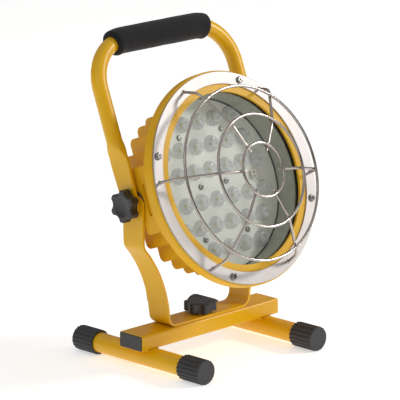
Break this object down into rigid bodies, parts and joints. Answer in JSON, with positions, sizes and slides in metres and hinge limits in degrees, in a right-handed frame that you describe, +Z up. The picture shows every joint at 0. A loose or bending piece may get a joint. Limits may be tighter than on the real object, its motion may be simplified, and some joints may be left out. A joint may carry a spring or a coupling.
{
  "type": "led work light",
  "caption": "Round finned LED work light with a wire guard, tilting in a strap yoke on a tube stand, with a U-shaped carrying handle.",
  "frame": {"origin": "on the floor, under the middle of the whole object at rest", "axes": "+Z up, the lamp looks towards -Y and 20.5 degrees up, +X to the right of the lamp as seen from in front"},
  "size_m": [0.271, 0.2503, 0.4151],
  "materials": {
    "yellow_paint": "semi-gloss powder coat",
    "yellow_cast": "semi-gloss powder coat on a die casting",
    "stainless": "satin stainless sheet and wire",
    "zinc_steel": "bright zinc-plated fastener",
    "black_rubber": "matt moulded rubber",
    "black_foam": "closed-cell foam sleeve",
    "black_nylon": "moulded nylon, lightly textured",
    "clear_glass": "tempered flat glass",
    "clear_acrylic": "moulded clear acrylic optic",
    "board_white": "white solder mask on aluminium",
    "sleeve_grey": "grey moulded ring",
    "led_phosphor": "yellow phosphor dome",
    "green_board": "glass-epoxy circuit board",
    "copper_coil": "taped ferrite and winding",
    "can_black": "sleeved capacitor can",
    "wire_red": "insulated wire",
    "terminal_cream": "nylon terminal block",
    "fibre_washer": "pressed fibre"
  },
  "bodies": {
    "stand": {"crossbar": "yellow_paint", "stand_welds": "yellow_paint", "pan_bolt": "zinc_steel", "left_leg": "yellow_paint", "right_leg": "yellow_paint", "left_bar_plug": "black_nylon", "right_bar_plug": "black_nylon", "front_left_foot": "black_rubber", "front_right_foot": "black_rubber", "rear_left_foot": "black_rubber", "rear_right_foot": "black_rubber"},
    "yoke": {"yoke_strap": "yellow_paint", "cable_clip": "black_nylon", "clip_screw": "zinc_steel"},
    "lamp": {"lamp_drum": "yellow_cast", "heat_sink": "yellow_cast", "front_bezel": "yellow_cast", "front_glass": "clear_glass", "glass_gasket": "black_rubber", "reflector_sleeve": "sleeve_grey", "guard_ring": "stainless", "guard_screws": "zinc_steel", "guard_spokes": "stainless", "guard_hoop_outer": "stainless", "guard_hoop_middle": "stainless", "guard_hoop_inner": "stainless", "led_board": "board_white", "board_screws": "zinc_steel", "led_chips": "led_phosphor", "led_lenses": "clear_acrylic", "terminal_block": "terminal_cream", "driver_board": "green_board", "driver_screws": "zinc_steel", "driver_transformer": "copper_coil", "driver_capacitors": "can_black", "led_leads": "wire_red", "cover_gasket": "black_rubber", "rear_cover": "yellow_cast", "cover_screws": "zinc_steel", "gland_body": "black_nylon", "gland_locknut": "black_nylon", "gland_seal": "black_rubber", "gland_nut": "black_nylon", "left_lug_washer": "fibre_washer", "right_lug_washer": "fibre_washer"},
    "handle": {"handle_tube": "yellow_paint", "foam_grip": "black_foam", "left_handle_washer": "black_nylon", "right_handle_washer": "black_nylon"},
    "base_washer": {"base_washer": "zinc_steel"},
    "base_knob": {"base_knob": "black_nylon"},
    "left_clamp_washer": {"left_clamp_washer": "zinc_steel"},
    "left_knob": {"left_knob": "black_nylon", "left_knob_stud": "zinc_steel"},
    "right_clamp_washer": {"right_clamp_washer": "zinc_steel"},
    "right_knob": {"right_knob": "black_nylon", "right_knob_stud": "zinc_steel"}
  },
  "joints": [
    {"name": "yoke_pan", "type": "hinge", "parent": "stand", "child": "yoke", "pos_m": [0, 0.0106, 0.0472], "axis": [0, 0, 1], "continuous": true},
    {"name": "lamp_tilt", "type": "hinge", "parent": "yoke", "child": "lamp", "pos_m": [0, 0.0106, 0.211], "axis": [-1, 0, 0], "range_deg": [-34, 25]},
    {"name": "handle_tilt", "type": "hinge", "parent": "yoke", "child": "handle", "pos_m": [0, 0.0106, 0.211], "axis": [-1, 0, 0], "range_deg": [-20, 75]},
    {"name": "base_knob_travel", "type": "slide", "parent": "stand", "child": "base_washer", "axis": [0, 0, 1], "range_m": [0, 0.0025]},
    {"name": "base_knob_turn", "type": "hinge", "parent": "base_washer", "child": "base_knob", "pos_m": [0, 0.0106, 0.05], "axis": [0, 0, 1], "range_deg": [0, 720]},
    {"name": "left_knob_travel", "type": "slide", "parent": "yoke", "child": "left_clamp_washer", "axis": [-1, 0, 0], "range_m": [0, 0.0025]},
    {"name": "left_knob_turn", "type": "hinge", "parent": "left_clamp_washer", "child": "left_knob", "pos_m": [0, 0.0106, 0.211], "axis": [-1, 0, 0], "range_deg": [0, 720]},
    {"name": "right_knob_travel", "type": "slide", "parent": "yoke", "child": "right_clamp_washer", "axis": [1, 0, 0], "range_m": [0, 0.0025]},
    {"name": "right_knob_turn", "type": "hinge", "parent": "right_clamp_washer", "child": "right_knob", "pos_m": [0, 0.0106, 0.211], "axis": [1, 0, 0], "range_deg": [0, 720]}
  ],
  "couplings": [
    {"joint": "base_knob_turn", "follows": "base_knob_travel", "rad_per_m": 5026.5},
    {"joint": "left_knob_turn", "follows": "left_knob_travel", "rad_per_m": 5026.5},
    {"joint": "right_knob_turn", "follows": "right_knob_travel", "rad_per_m": 5026.5}
  ]
}
